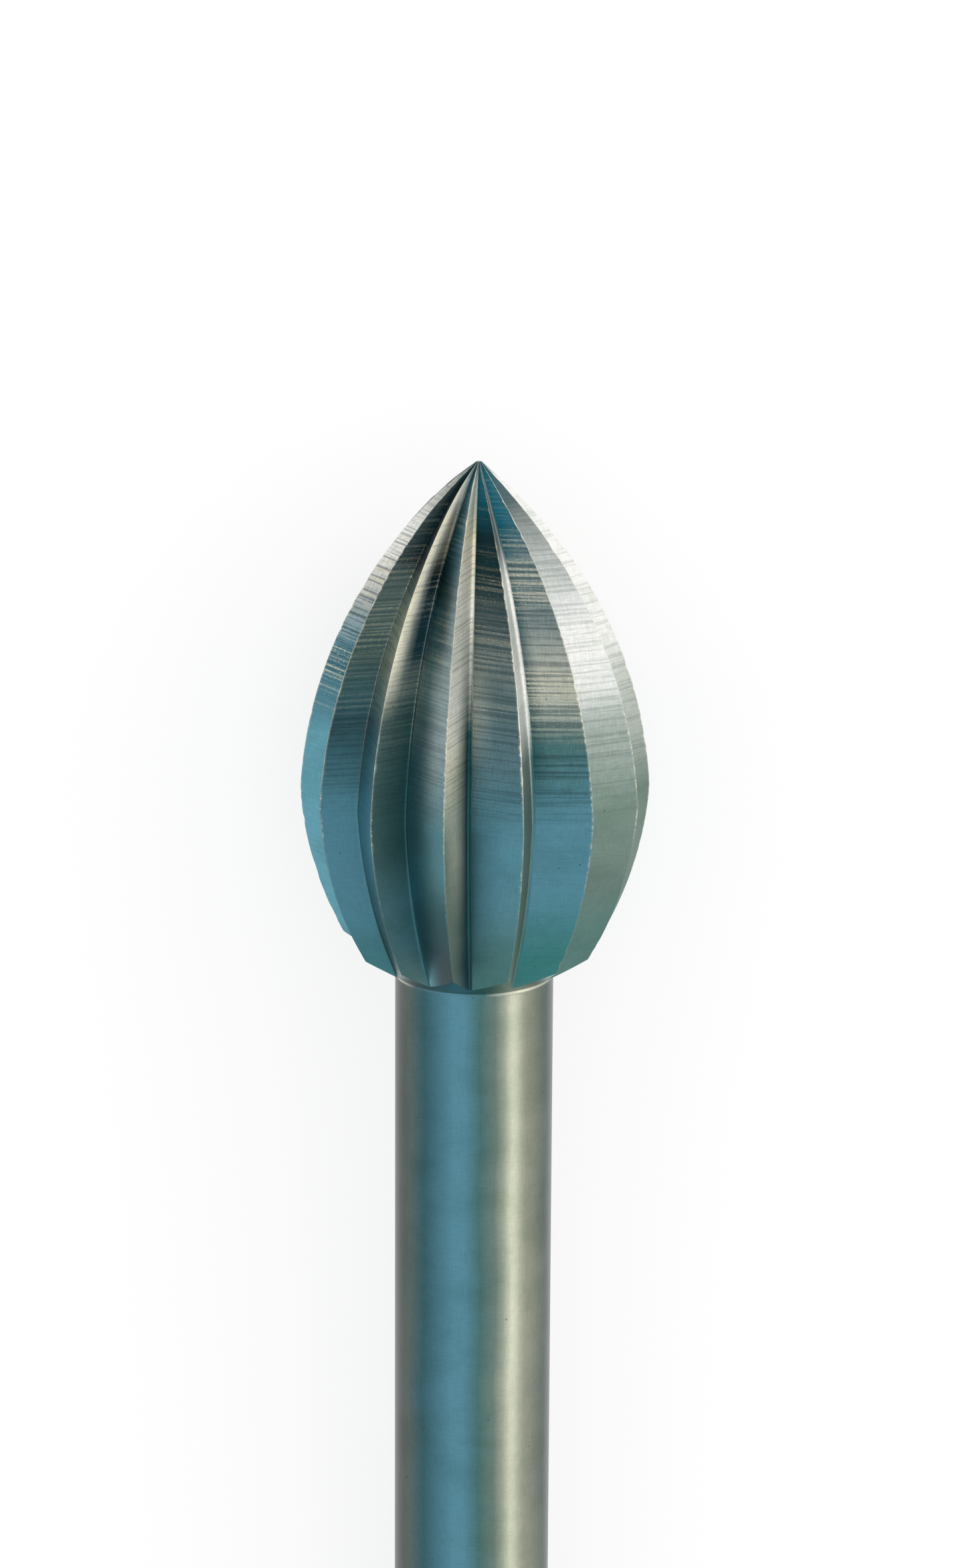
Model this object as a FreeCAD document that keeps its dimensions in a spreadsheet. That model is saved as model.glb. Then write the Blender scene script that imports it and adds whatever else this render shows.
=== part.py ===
# Bud-shaped milling cutter: one piece of tool steel with a fluted head on a plain round shank.
# Millimetres. The cutter is built upright along its own axis and then laid down as it comes to rest.
import FreeCAD, Part
import math
import os
import Sketcher

# Driving dimensions. Heights are measured from the plane where the teeth end, towards the tip.
SIZES = [
    ("shank_diameter", 2.35, "plain round shank, standard for small rotary tools"),
    ("overall_length", 44.5, "tip to tail"),
    ("tail_chamfer", 0.2, "bevel on the tail's edge"),
    ("teeth", 14, "cutting teeth round the head"),
    ("bud_height", 7.33, "from the end of the teeth to the tip"),
    ("belly_height", 2.42, "where the bud is widest"),
    ("head_diameter", 5.15, "over the teeth at the belly"),
    ("head_root_diameter", 4.2, "over the flute bottoms at the belly"),
    ("base_diameter", 3.64, "over the teeth where they end"),
    ("base_root_diameter", 3.02, "over the flute bottoms where the teeth end"),
    ("tip_diameter", 0.09, "over the teeth at the blunt tip"),
    ("tip_root_diameter", 0.064, "over the flute bottoms at the blunt tip"),
    ("front_lean", 3.0, "degrees that the front curve leans in as it leaves the belly"),
    ("back_lean", 3.8, "degrees that the back curve leans in as it leaves the belly"),
    ("root_lead", 7.1, "degrees from a tooth's edge to the bottom of the flute in front of it"),
    ("cone_height", 0.4, "plain back cone between the teeth and the shank"),
    ("neck_radius", 0.12, "fillet between the back cone and the shank"),
]

# Sections of the fluted head, as shares of the way from the belly to the tip and to the end of the teeth
FRONT_SHARES = (0.16, 0.34, 0.52, 0.7, 0.86, 0.96, 1.0)
BACK_SHARES = (1.0, 0.66, 0.32)
# The last section lies inside the shank's end: how far below the teeth, in cone heights, and how much
# of the step from the shank out to the teeth is left there
RUN_OUT_DEPTH = 1.5
RUN_OUT_STEP = 0.3

doc = FreeCAD.newDocument("milling_cutter")
sheet = doc.addObject("Spreadsheet::Sheet", "Sizes")
for row, (alias, number, note) in enumerate(SIZES, start=1):
    sheet.set("A%d" % row, note)
    sheet.set("B%d" % row, str(number))
    sheet.setAlias("B%d" % row, alias)
doc.recompute()


def size(alias):
    """Read one driving dimension as a number."""
    return float(sheet.get(alias))


def value(text):
    """Work out an expression of the sheet's cells as a number."""
    return float(sheet.evalExpression(text))


def cell(alias):
    """Name one driving dimension in an expression."""
    return "Sizes.%s" % alias


def half(alias):
    """A diameter's radius, as an expression."""
    return "%s / 2" % cell(alias)


def degrees(alias):
    """An angle from the sheet with its unit, as an expression."""
    return "(%s * 1 deg)" % cell(alias)


def curve_radius(belly, end, lean, run, share):
    """Expression for the radius of an arc that leaves the belly at a small lean and reaches the end.

    belly and end are the radii at both ends of the run, and share is how far along the run it is read.
    """
    drop = "(%s - %s)" % (belly, end)
    chord = "sqrt(%s^2 + %s^2)" % (run, drop)
    arc = "(%s / (2 * sin(atan(%s / %s) - %s)))" % (chord, drop, run, lean)
    along = "(%s * %g + %s * sin(%s))" % (run, share, arc, lean)
    return "%s - %s * cos(%s) + sqrt(%s^2 - %s^2)" % (belly, arc, lean, arc, along)


TIP_RUN = "(%s - %s)" % (cell("bud_height"), cell("belly_height"))
BASE_RUN = cell("belly_height")


def section_at(side, share):
    """Height, crest radius and root radius of one section, as expressions."""
    if side == "front":
        run, lean, crest_end, root_end = TIP_RUN, degrees("front_lean"), "tip_diameter", "tip_root_diameter"
        height = "%s + %s * %g" % (cell("belly_height"), run, share)
    else:
        run, lean, crest_end, root_end = BASE_RUN, degrees("back_lean"), "base_diameter", "base_root_diameter"
        height = "%s - %s * %g" % (cell("belly_height"), run, share)
    crest = curve_radius(half("head_diameter"), half(crest_end), lean, run, share)
    root = curve_radius(half("head_root_diameter"), half(root_end), lean, run, share)
    return height, crest, root


def run_out():
    """Height, crest radius and root radius of the section past the end of the teeth, as expressions."""
    height = "-%s * %g" % (cell("cone_height"), RUN_OUT_DEPTH)
    radii = []
    for end in ("base_diameter", "base_root_diameter"):
        radii.append("%s + (%s - %s) * %g" % (half("shank_diameter"), half(end), half("shank_diameter"), RUN_OUT_STEP))
    return height, radii[0], radii[1]


body = doc.addObject("PartDesign::Body", "milling_cutter")
body.Label = "milling_cutter"


def origin_plane(role):
    """One of the body's own origin planes."""
    return [feature for feature in body.Origin.OriginFeatures if feature.Role == role][0]


def new_sketch(name, role):
    """An empty sketch on one of the body's origin planes."""
    sketch = body.newObject("Sketcher::SketchObject", name)
    sketch.AttachmentSupport = [(origin_plane(role), "")]
    sketch.MapMode = "FlatFace"
    return sketch


def closed_outline(sketch, corners):
    """Straight lines round a closed outline whose corners are pairs of expressions."""
    count = len(corners)
    numbers = [(value(x), value(y)) for x, y in corners]
    points = [FreeCAD.Vector(x, y, 0) for x, y in numbers]
    for i in range(count):
        sketch.addGeometry(Part.LineSegment(points[i], points[(i + 1) % count]))
    for i in range(count):
        sketch.addConstraint(Sketcher.Constraint("Coincident", i, 2, (i + 1) % count, 1))
    for i in range(count):
        for axis, number, text in zip(("DistanceX", "DistanceY"), numbers[i], corners[i]):
            place = sketch.addConstraint(Sketcher.Constraint(axis, -1, 1, i, 1, number))
            sketch.setExpression("Constraints[%d]" % place, text)


# Tooth edges and flute bottoms round the axis. The cutter rests on the two teeth each side of downwards.
TEETH = int(size("teeth"))
DOWN = 90.0


def tooth_angle(k):
    """Expression for the direction of tooth k's edge, in degrees round the axis."""
    return "%g + 360 / %s * %g" % (DOWN, cell("teeth"), k + 0.5)


def star_section(name, height, crest, root):
    """One cross-section of the fluted head: a steep cutting face and a long back to each tooth."""
    sketch = new_sketch(name, "XY_Plane")
    sketch.setExpression("AttachmentOffset.Base.z", height)
    corners = []
    for k in range(TEETH):
        edge = tooth_angle(k)
        corners.append((crest, edge))
        corners.append((root, "%s + %s" % (edge, cell("root_lead"))))
    closed_outline(sketch, [("(%s) * cos(%s)" % corner, "(%s) * sin(%s)" % corner) for corner in corners])
    return sketch


sections = [run_out()]
for share in BACK_SHARES:
    sections.append(section_at("back", share))
sections.append(section_at("front", 0.0))
for share in FRONT_SHARES:
    sections.append(section_at("front", share))
sketches = []
for number, section in enumerate(sections):
    sketches.append(star_section("head_section_%d" % number, *section))
doc.recompute()

# The fluted head runs on past the end of the teeth, down to where the back cone cuts it off
head = body.newObject("PartDesign::AdditiveLoft", "fluted_head")
head.Profile = sketches[0]
head.Sections = sketches[1:]
doc.recompute()

# Back cone, turned across the ends of the teeth. Its line goes on inside the shank.
CONE_SLOPE = "(%s / (%s - %s))" % (cell("cone_height"), half("base_diameter"), half("shank_diameter"))
cone_inside = "%s / 4" % cell("shank_diameter")
cone_foot = "-%s - %s / 4 * %s" % (cell("cone_height"), cell("shank_diameter"), CONE_SLOPE)
cone_brim = "(%s - %s) * %s" % (half("head_diameter"), half("base_diameter"), CONE_SLOPE)
cone_sketch = new_sketch("back_cone_profile", "XZ_Plane")
closed_outline(cone_sketch, [
    (cone_inside, cone_foot),
    (half("head_diameter"), cone_brim),
    (half("head_diameter"), cone_foot),
])
cone = body.newObject("PartDesign::Groove", "back_cone")
cone.Profile = cone_sketch
cone.ReferenceAxis = (cone_sketch, ["V_Axis"])
cone.Angle = 360
doc.recompute()

# Shank, from inside the head down to the tail
shank_sketch = new_sketch("shank_circle", "XY_Plane")
shank_sketch.addGeometry(Part.Circle(FreeCAD.Vector(), FreeCAD.Vector(0, 0, 1), size("shank_diameter") / 2))
shank_sketch.addConstraint(Sketcher.Constraint("Coincident", 0, 3, -1, 1))
shank_sketch.addConstraint(Sketcher.Constraint("Diameter", 0, size("shank_diameter")))
shank_sketch.setExpression("Constraints[1]", cell("shank_diameter"))
shank = body.newObject("PartDesign::Pad", "shank")
shank.Profile = shank_sketch
shank.Reversed = True
shank.setExpression("Length", "%s - %s" % (cell("overall_length"), cell("bud_height")))
doc.recompute()


def round_edge(feature, height):
    """Name of the shank's circular edge at a height along the axis."""
    for number, edge in enumerate(feature.Shape.Edges, start=1):
        centre = edge.BoundBox.Center
        on_shank = abs(edge.BoundBox.XLength - size("shank_diameter")) < 1e-3
        if on_shank and abs(centre.z - height) < 1e-3 and edge.BoundBox.ZLength < 1e-3:
            return "Edge%d" % number
    raise ValueError("no round edge at height %g" % height)


tail_height = size("bud_height") - size("overall_length")
neck = body.newObject("PartDesign::Fillet", "neck_fillet")
neck.Base = (shank, [round_edge(shank, -size("cone_height"))])
neck.setExpression("Radius", cell("neck_radius"))
doc.recompute()
bevel = body.newObject("PartDesign::Chamfer", "tail_bevel")
bevel.Base = (neck, [round_edge(neck, tail_height)])
bevel.setExpression("Size", cell("tail_chamfer"))
body.Tip = bevel
doc.recompute()

# Laid down: the tip points along +Y, and two tooth edges and the tail's edge touch the ground
belly_drop = size("head_diameter") / 2 * math.cos(math.pi / TEETH)
shank_radius = size("shank_diameter") / 2
reach = size("belly_height") - tail_height - size("tail_chamfer")
tilt = math.atan((belly_drop - shank_radius) / reach)
tip_end = size("bud_height") * math.cos(tilt) + size("tip_diameter") / 2 * math.sin(tilt)
tail_end = tail_height * math.cos(tilt) - (shank_radius - size("tail_chamfer")) * math.sin(tilt)
axis_height = belly_drop * math.cos(tilt) - size("belly_height") * math.sin(tilt)
turn = FreeCAD.Rotation(FreeCAD.Vector(1, 0, 0), math.degrees(tilt) - 90)
body.Placement = FreeCAD.Placement(FreeCAD.Vector(0, -(tip_end + tail_end) / 2, axis_height), turn)
doc.recompute()

for item in doc.Objects:
    if "Invalid" in item.State or "Error" in item.State:
        raise RuntimeError("%s did not build" % item.Label)
if body.Shape.isNull() or not body.Shape.isValid() or len(body.Shape.Solids) != 1:
    raise RuntimeError("the cutter is not one sound solid")
os.makedirs("parts", exist_ok=True)
body.Shape.exportStep("parts/%s.step" % body.Label)
print("tilt %.3f degrees, volume %.2f mm3" % (math.degrees(tilt), body.Shape.Volume))
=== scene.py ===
# %% [markdown]
# # A bud-shaped milling cutter
#
# The real object is a small rotary tool of the kind that a hand grinder or a dental handpiece
# holds. It is one piece of hard steel: a plain round shank, and a bud-shaped head with fourteen
# straight teeth cut into it. This lesson dresses the plain model of it: it puts a finer mesh of
# the same form in the same place, and gives it ground and milled steel, worn edges, and colours
# that paint in the reflections, shade and highlights that the steel shows.

# %% Load the frame
import bpy
import math
import numpy as np
from mathutils import Matrix, Vector


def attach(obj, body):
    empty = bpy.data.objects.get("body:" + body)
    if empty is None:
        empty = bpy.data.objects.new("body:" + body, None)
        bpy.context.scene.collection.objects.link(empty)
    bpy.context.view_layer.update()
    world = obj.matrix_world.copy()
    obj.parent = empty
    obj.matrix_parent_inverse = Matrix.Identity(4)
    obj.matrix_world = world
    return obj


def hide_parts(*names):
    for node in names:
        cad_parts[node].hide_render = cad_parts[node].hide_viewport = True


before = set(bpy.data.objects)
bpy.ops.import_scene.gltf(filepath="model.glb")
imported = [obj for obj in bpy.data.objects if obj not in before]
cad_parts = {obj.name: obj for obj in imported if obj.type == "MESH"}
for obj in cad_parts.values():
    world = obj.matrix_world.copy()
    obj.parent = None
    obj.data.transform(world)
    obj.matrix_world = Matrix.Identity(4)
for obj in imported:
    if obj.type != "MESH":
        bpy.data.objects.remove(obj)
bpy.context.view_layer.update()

# %% [markdown]
# ## Sizes
#
# Blender works in metres, and this cutter is only 44.5 mm long, so every size is written in
# millimetres and multiplied by MM where a point is made. The numbers are those that the solid
# model was drawn with. Keeping them by name means that the finer mesh can't drift away from it.

# %% Sizes of the cutter
MM = 0.001
TEETH = 14
SHANK_RADIUS = 1.175
OVERALL_LENGTH = 44.5
TAIL_CHAMFER = 0.2
BUD_HEIGHT = 7.33
TAIL_HEIGHT = BUD_HEIGHT - OVERALL_LENGTH
BELLY_HEIGHT = 2.42
BELLY_EDGE, BELLY_ROOT = 2.575, 2.1
BASE_EDGE, BASE_ROOT = 1.82, 1.51
TIP_EDGE, TIP_ROOT = 0.045, 0.032
FRONT_LEAN, BACK_LEAN = math.radians(3.0), math.radians(3.8)
ROOT_LEAD = math.radians(7.1)
CONE_HEIGHT = 0.4
NECK_RADIUS = 0.12
PITCH = 2 * math.pi / TEETH
print("one tooth every %.2f degrees" % math.degrees(PITCH))

# %% [markdown]
# ## How the cutter lies
#
# The cutter lies on the floor on two of its teeth and on the edge of its tail, so its axis leans
# up a little towards the belly of the head. Three directions describe that: `ALONG` runs up the
# axis to the tip, `UP` is square to it and points away from the floor, and `SIDE` points right.
# Any point of the tool is then a height along the axis, a radius and an angle round it.

# %% Axes of the lying tool
belly_drop = BELLY_EDGE * math.cos(PITCH / 2)
reach = BELLY_HEIGHT - TAIL_HEIGHT - TAIL_CHAMFER
tilt = math.atan((belly_drop - SHANK_RADIUS) / reach)
SIDE = Vector((1, 0, 0))
UP = Vector((0, -math.sin(tilt), math.cos(tilt)))
ALONG = Vector((0, math.cos(tilt), math.sin(tilt)))
tip_end = BUD_HEIGHT * math.cos(tilt) + TIP_EDGE * math.sin(tilt)
tail_end = TAIL_HEIGHT * math.cos(tilt) - (SHANK_RADIUS - TAIL_CHAMFER) * math.sin(tilt)
TEETH_END = Vector((0, -(tip_end + tail_end) / 2,
                    belly_drop * math.cos(tilt) - BELLY_HEIGHT * math.sin(tilt)))


def tool_point(height, radius, angle):
    """A point of the tool in metres: height along the axis, radius and angle from UP towards SIDE."""
    out = radius * (math.cos(angle) * UP + math.sin(angle) * SIDE)
    return (TEETH_END + height * ALONG + out) * MM


print("tilt %.3f degrees, tip at" % math.degrees(tilt), tool_point(BUD_HEIGHT, 0, 0))

# %% [markdown]
# ## Camera
#
# A close-up like this is taken with a long lens. The camera stands 80 mm off, looks down on the
# lying tool from 16.5 degrees towards its tip, and is swung about 3 degrees to its left side. Its
# up direction follows the tool, so the tool stands upright in the picture, with a hair of roll.
# Blender measures the lens against the longer side of the picture, which here is its height.

# %% Camera
PHOTO_HEIGHT = 2342
FOCAL_PIXELS = 8128
CAMERA_DISTANCE = 80.0
CAMERA_LEAN = math.radians(16.5)
CAMERA_SWING = math.radians(-3.06)
CAMERA_ROLL = math.radians(0.31)
AIM_RIGHT, AIM_HEIGHT = 0.123, 2.47

towards = math.cos(CAMERA_SWING) * UP + math.sin(CAMERA_SWING) * SIDE
right = math.cos(CAMERA_SWING) * SIDE - math.sin(CAMERA_SWING) * UP
back = math.cos(CAMERA_LEAN) * towards + math.sin(CAMERA_LEAN) * ALONG
head_up = math.cos(CAMERA_LEAN) * ALONG - math.sin(CAMERA_LEAN) * towards
cam_right = math.cos(CAMERA_ROLL) * right + math.sin(CAMERA_ROLL) * head_up
cam_up = math.cos(CAMERA_ROLL) * head_up - math.sin(CAMERA_ROLL) * right

lens = bpy.data.cameras.new("lens")
lens.sensor_fit = "AUTO"
lens.sensor_width = 36
lens.lens = lens.sensor_width * FOCAL_PIXELS / PHOTO_HEIGHT
lens.clip_start, lens.clip_end = 0.005, 20
camera = bpy.data.objects.new("camera", lens)
bpy.context.scene.collection.objects.link(camera)
aim = TEETH_END + AIM_HEIGHT * ALONG + AIM_RIGHT * right
camera.matrix_world = Matrix.Translation((aim + CAMERA_DISTANCE * back) * MM) @ Matrix(
    (cam_right, cam_up, back)).transposed().to_4x4()
bpy.context.scene.camera = camera
bpy.context.scene.view_settings.view_transform = "Standard"
print("lens %.1f mm" % lens.lens)

# %% [markdown]
# ## Nodes, in short
#
# Blender's materials are small graphs of nodes. Written out one by one they fill pages, so one
# helper makes a node: settings go on the node itself, and inputs go to its sockets, where a
# number is typed in and a socket of another node is wired up.


# %% Helper for nodes
def add_node(tree, kind, settings=None, inputs=None):
    """One node in a tree, with its settings made and its inputs filled in or wired up."""
    made = tree.nodes.new(kind)
    for name, setting in (settings or {}).items():
        setattr(made, name, setting)
    for name, given in (inputs or {}).items():
        if isinstance(given, bpy.types.NodeSocket):
            tree.links.new(given, made.inputs[name])
        else:
            made.inputs[name].default_value = given
    return made


def maths(tree, operation, *values):
    """A sum on one, two or three numbers."""
    return add_node(tree, "ShaderNodeMath", {"operation": operation}, dict(enumerate(values))).outputs[0]


def new_tree(material):
    """An empty node tree for a material, and its output node."""
    material.use_nodes = True
    material.node_tree.nodes.clear()
    return material.node_tree, material.node_tree.nodes.new("ShaderNodeOutputMaterial")


print("helpers for nodes are ready")

# %% [markdown]
# ## Floor and light
#
# The photograph has a clean white ground and soft light. The floor is a plain pale sheet. Part of
# what the camera sees of it is its own even brightness, so it reads as white, and the rest is
# ordinary matt paper that still takes the tool's soft shadow. Steel mirrors what is round it, so
# the reflections see the same white sheet.

# %% Floor
FLOOR_REACH = 6.0
FLOOR_GLOW, PAPER_WHITE, PLAIN_WHITE = 0.71, 0.36, 0.8

floor_mesh = bpy.data.meshes.new("floor")
corners = [(x * FLOOR_REACH, y * FLOOR_REACH, 0) for x, y in ((-1, -1), (1, -1), (1, 1), (-1, 1))]
floor_mesh.from_pydata(corners, [], [(0, 1, 2, 3)])
floor = bpy.data.objects.new("floor", floor_mesh)
bpy.context.scene.collection.objects.link(floor)

paper = bpy.data.materials.new("pale_paper")
tree, output = new_tree(paper)
glow = add_node(tree, "ShaderNodeEmission", inputs={"Color": (1, 1, 1, 1), "Strength": FLOOR_GLOW})
matt = add_node(tree, "ShaderNodeBsdfDiffuse", inputs={"Color": (PAPER_WHITE,) * 3 + (1,)})
seen = add_node(tree, "ShaderNodeAddShader", inputs={0: glow.outputs[0], 1: matt.outputs[0]})
plain = add_node(tree, "ShaderNodeBsdfDiffuse", inputs={"Color": (PLAIN_WHITE,) * 3 + (1,)})
path = add_node(tree, "ShaderNodeLightPath")
looking = maths(tree, "MAXIMUM", path.outputs["Is Camera Ray"],
                maths(tree, "MAXIMUM", path.outputs["Is Glossy Ray"], path.outputs["Is Transmission Ray"]))
mixed = add_node(tree, "ShaderNodeMixShader", inputs={0: looking, 1: plain.outputs[0], 2: seen.outputs[0]})
tree.links.new(mixed.outputs[0], output.inputs["Surface"])
floor_mesh.materials.append(paper)
print("floor at height 0, %g m across" % (2 * FLOOR_REACH))

# %% [markdown]
# ## Lamps
#
# Two soft boxes and an even sky are enough. The larger box stands low on the right: on a round
# shank it gives one long bright line, and on the head it picks out the faces that lean that way.
# The smaller one, on the left beyond the tip, opens the other side. Metal shows the shape of a
# lamp, so both are big and far away compared with the tool.

# %% Sky and soft boxes
SKY_LEVEL = 0.85

world = bpy.data.worlds.new("sky")
bpy.context.scene.world = world
world.use_nodes = True
sky = world.node_tree.nodes["Background"]
sky.inputs["Color"].default_value = (1, 1, 1, 1)
sky.inputs["Strength"].default_value = SKY_LEVEL


def soft_box(name, direction, distance, wide, long, level):
    """An area lamp that looks at the tool's middle, wide across and long along the tool."""
    lamp = bpy.data.lights.new(name, "AREA")
    lamp.shape = "RECTANGLE"
    lamp.size, lamp.size_y = wide, long
    lamp.energy = level * math.pi * wide * long
    held = bpy.data.objects.new(name, lamp)
    bpy.context.scene.collection.objects.link(held)
    way = Vector(direction).normalized()
    across = Vector((0, 1, 0)).cross(way).normalized()
    along = way.cross(across)
    turned = Matrix((across, along, way)).transposed().to_4x4()
    held.matrix_world = Matrix.Translation(way * distance) @ turned


soft_box("right_box", direction=(0.84, 0.05, 0.47), distance=0.9, wide=0.24, long=1.1, level=1.0)
soft_box("left_box", direction=(-0.66, 0.62, 0.45), distance=0.9, wide=0.3, long=0.3, level=0.4)

# %% [markdown]
# ## The bud's outline
#
# Seen from the side, the teeth swell from the neck to a belly and run in to a point. Both runs
# are arcs that leave the belly with a slight lean. The bottoms of the flutes follow arcs of their
# own, a little further in. One function gives the radius for any height, for edge or bottom. Past
# the end of the teeth it runs on smoothly, as far as the back cone needs it.

# %% Radius of the bud at a height
RUN_OUT_DEPTH, RUN_OUT_STEP = 1.5, 0.3
SLOPE_STEP = 0.01


def arc_in(belly, end, lean, run, share):
    """Radius at a share of the way along an arc from the belly to its end."""
    drop = belly - end
    arc = math.hypot(run, drop) / (2 * math.sin(math.atan(drop / run) - lean))
    along = share * run + arc * math.sin(lean)
    return belly - arc * math.cos(lean) + np.sqrt(arc ** 2 - along ** 2)


def bud_radius(height, belly, tip, base):
    """Radius over the edges or flute bottoms at each height, a little past the end of the teeth too."""
    front_run = BUD_HEIGHT - BELLY_HEIGHT
    front = arc_in(belly, tip, FRONT_LEAN, front_run, np.clip((height - BELLY_HEIGHT) / front_run, 0, 1))
    back_share = np.clip((BELLY_HEIGHT - height) / BELLY_HEIGHT, 0, 1)
    rear = arc_in(belly, base, BACK_LEAN, BELLY_HEIGHT, back_share)
    near_end = arc_in(belly, base, BACK_LEAN, BELLY_HEIGHT, 1 - SLOPE_STEP / BELLY_HEIGHT)
    slope = (near_end - base) / SLOPE_STEP
    fade = -RUN_OUT_DEPTH * CONE_HEIGHT
    run_out = SHANK_RADIUS + (base - SHANK_RADIUS) * RUN_OUT_STEP
    bend = (run_out - base - slope * fade) / fade ** 2
    below = np.minimum(height, 0)
    return np.where(height >= BELLY_HEIGHT, front, rear + slope * below + bend * below ** 2)


for height in (0.0, BELLY_HEIGHT, 5.0, BUD_HEIGHT):
    print("at %.2f mm the teeth reach %.3f mm" % (
        height, bud_radius(np.array(height), BELLY_EDGE, TIP_EDGE, BASE_EDGE)))

# %% [markdown]
# ## One tooth in section
#
# Cut across, each flute is a V: a short steep cutting face down from a tooth's edge, then the long
# back up to the next edge. Two things make steel look real here. The edges aren't knife-sharp: a
# narrow worn land catches the light. And the V's bottom is a tight round, as the mill leaves it.
# Each tooth gets the same columns of points: land, cutting face, round bottom, back, land. Close
# to the point the flutes are so small that land and round may only take a share of a face.

# %% Columns of points across one tooth
LAND = 0.006
BOTTOM_ROUND = 0.032
FACE_SHARES = (0.05, 0.27, 0.5, 0.73, 0.95)
BACK_SHARES = (0.04, 0.18, 0.32, 0.46, 0.6, 0.74, 0.87, 0.965)
ROUND_SHARES = (0.0, 0.15, 0.32, 0.5, 0.68, 0.85, 1.0)
MOST_LAND, MOST_ROUND = 0.2, 0.22
COLUMNS = 2 + len(FACE_SHARES) + len(ROUND_SHARES) + len(BACK_SHARES)


def polar(radius, angle):
    """Across and up, from a radius and an angle round the axis."""
    return np.stack([radius * np.sin(angle), radius * np.cos(angle)], -1)


def tooth_angle(tooth):
    """Direction of a tooth's edge round the axis, from UP towards SIDE."""
    return math.pi + PITCH * (tooth + 0.5)


def columns_of(edge, bottom, next_edge, wear, next_wear):
    """The points across one tooth and the flute in front of it, for every row at once."""
    face, rise = bottom - edge, next_edge - bottom
    face_long = np.linalg.norm(face, axis=-1, keepdims=True)
    rise_long = np.linalg.norm(rise, axis=-1, keepdims=True)
    face_way, rise_way = face / face_long, rise / rise_long
    first_land = np.minimum(wear[:, None], MOST_LAND * face_long)
    last_land = np.minimum(next_wear[:, None], MOST_LAND * rise_long)
    tuck = np.minimum(BOTTOM_ROUND, MOST_ROUND * face_long)
    start, stop = edge + face_way * first_land, bottom - face_way * tuck
    go, end = bottom + rise_way * tuck, next_edge - rise_way * last_land
    points = [start] + [start + (stop - start) * s for s in FACE_SHARES]
    points += [stop * (1 - s) ** 2 + bottom * 2 * s * (1 - s) + go * s ** 2 for s in ROUND_SHARES]
    return np.stack(points + [go + (end - go) * s for s in BACK_SHARES] + [end], 1)


print("%d columns a tooth, %d round the head" % (COLUMNS, COLUMNS * TEETH))

# %% [markdown]
# ## Wear on the edges
#
# A used cutter's edges are never straight lines. Every edge here has its own small nicks, strewn
# at random but always the same ones, because the random numbers start from a fixed seed. One
# tooth has lost its corner at the neck, and the point is blunt and stands a little off centre.

# %% Nicks, a broken corner and a blunt point
NICKS_PER_TOOTH = 46
LOWEST_NICK, DEEPEST_NICK = -0.1, 0.014
SHORT_NICK, LONG_NICK = 0.03, 0.09
BROKEN_TOOTH = 3
BROKEN_BELOW, BROKEN_OVER, BROKEN_DEPTH = 0.22, 0.14, 0.125
POINT_SHIFT, POINT_FROM = 0.035, 6.7
chance = np.random.default_rng(14)
nicks = [np.stack([chance.uniform(LOWEST_NICK, BUD_HEIGHT, NICKS_PER_TOOTH),
                   chance.uniform(SHORT_NICK, LONG_NICK, NICKS_PER_TOOTH),
                   DEEPEST_NICK * chance.random(NICKS_PER_TOOTH) ** 3], 1) for tooth in range(TEETH)]


def land_reach(tooth, height):
    """How far along both faces the worn land of a tooth reaches at each height."""
    wear = np.full(height.shape, LAND)
    for place, length, depth in nicks[tooth % TEETH]:
        wear += depth * np.exp(-((height - place) / length) ** 2)
    return wear


def edge_radius(tooth, height):
    """Radius of a tooth's edge at each height, with the one broken corner."""
    whole = bud_radius(height, BELLY_EDGE, TIP_EDGE, BASE_EDGE)
    if tooth % TEETH == BROKEN_TOOTH:
        whole = whole - BROKEN_DEPTH * np.clip((BROKEN_BELOW - height) / BROKEN_OVER, 0, 1)
    return whole


print("%d nicks, the deepest %.3f mm" % (TEETH * NICKS_PER_TOOTH, max(n[:, 2].max() for n in nicks)))

# %% [markdown]
# ## Head, neck and shank as one skin
#
# The teeth end where a plain cone was turned across them, so each column of points ends at its
# own height: where it meets the cone. A few rounds of trial bring every column's last point onto
# the cone. From there the same columns run down the cone, round the neck and along the shank to
# the tail, so the whole tool is one closed skin of four-sided faces, as the real one is one piece.

# %% Rows of points along the tool
HEAD_ROWS, CONE_TRIALS = 230, 12
CONE_SLOPE = CONE_HEIGHT / (BASE_EDGE - SHANK_RADIUS)


def head_section(heights):
    """Points across the whole head, with one height for each column."""
    rings = []
    for tooth in range(TEETH):
        own = heights[:, tooth * COLUMNS:(tooth + 1) * COLUMNS]
        made = []
        for column in range(COLUMNS):
            z = own[:, column]
            edge = polar(edge_radius(tooth, z), tooth_angle(tooth))
            bottom = polar(bud_radius(z, BELLY_ROOT, TIP_ROOT, BASE_ROOT), tooth_angle(tooth) + ROOT_LEAD)
            after = polar(edge_radius(tooth + 1, z), tooth_angle(tooth + 1))
            every = columns_of(edge, bottom, after, land_reach(tooth, z), land_reach(tooth + 1, z))
            made.append(every[:, column])
        rings.append(np.stack(made, 1))
    return np.concatenate(rings, 1)


ends = np.zeros((1, TEETH * COLUMNS))
for trial in range(CONE_TRIALS):
    ends = -CONE_SLOPE * (BASE_EDGE - np.linalg.norm(head_section(ends), axis=-1))
row_shares = np.linspace(0, 1, HEAD_ROWS)[:, None]
heights = ends + (BUD_HEIGHT - ends) * row_shares
head = head_section(heights)
print("the flutes run out between %.3f and %.3f mm" % (ends.min(), ends.max()))

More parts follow.
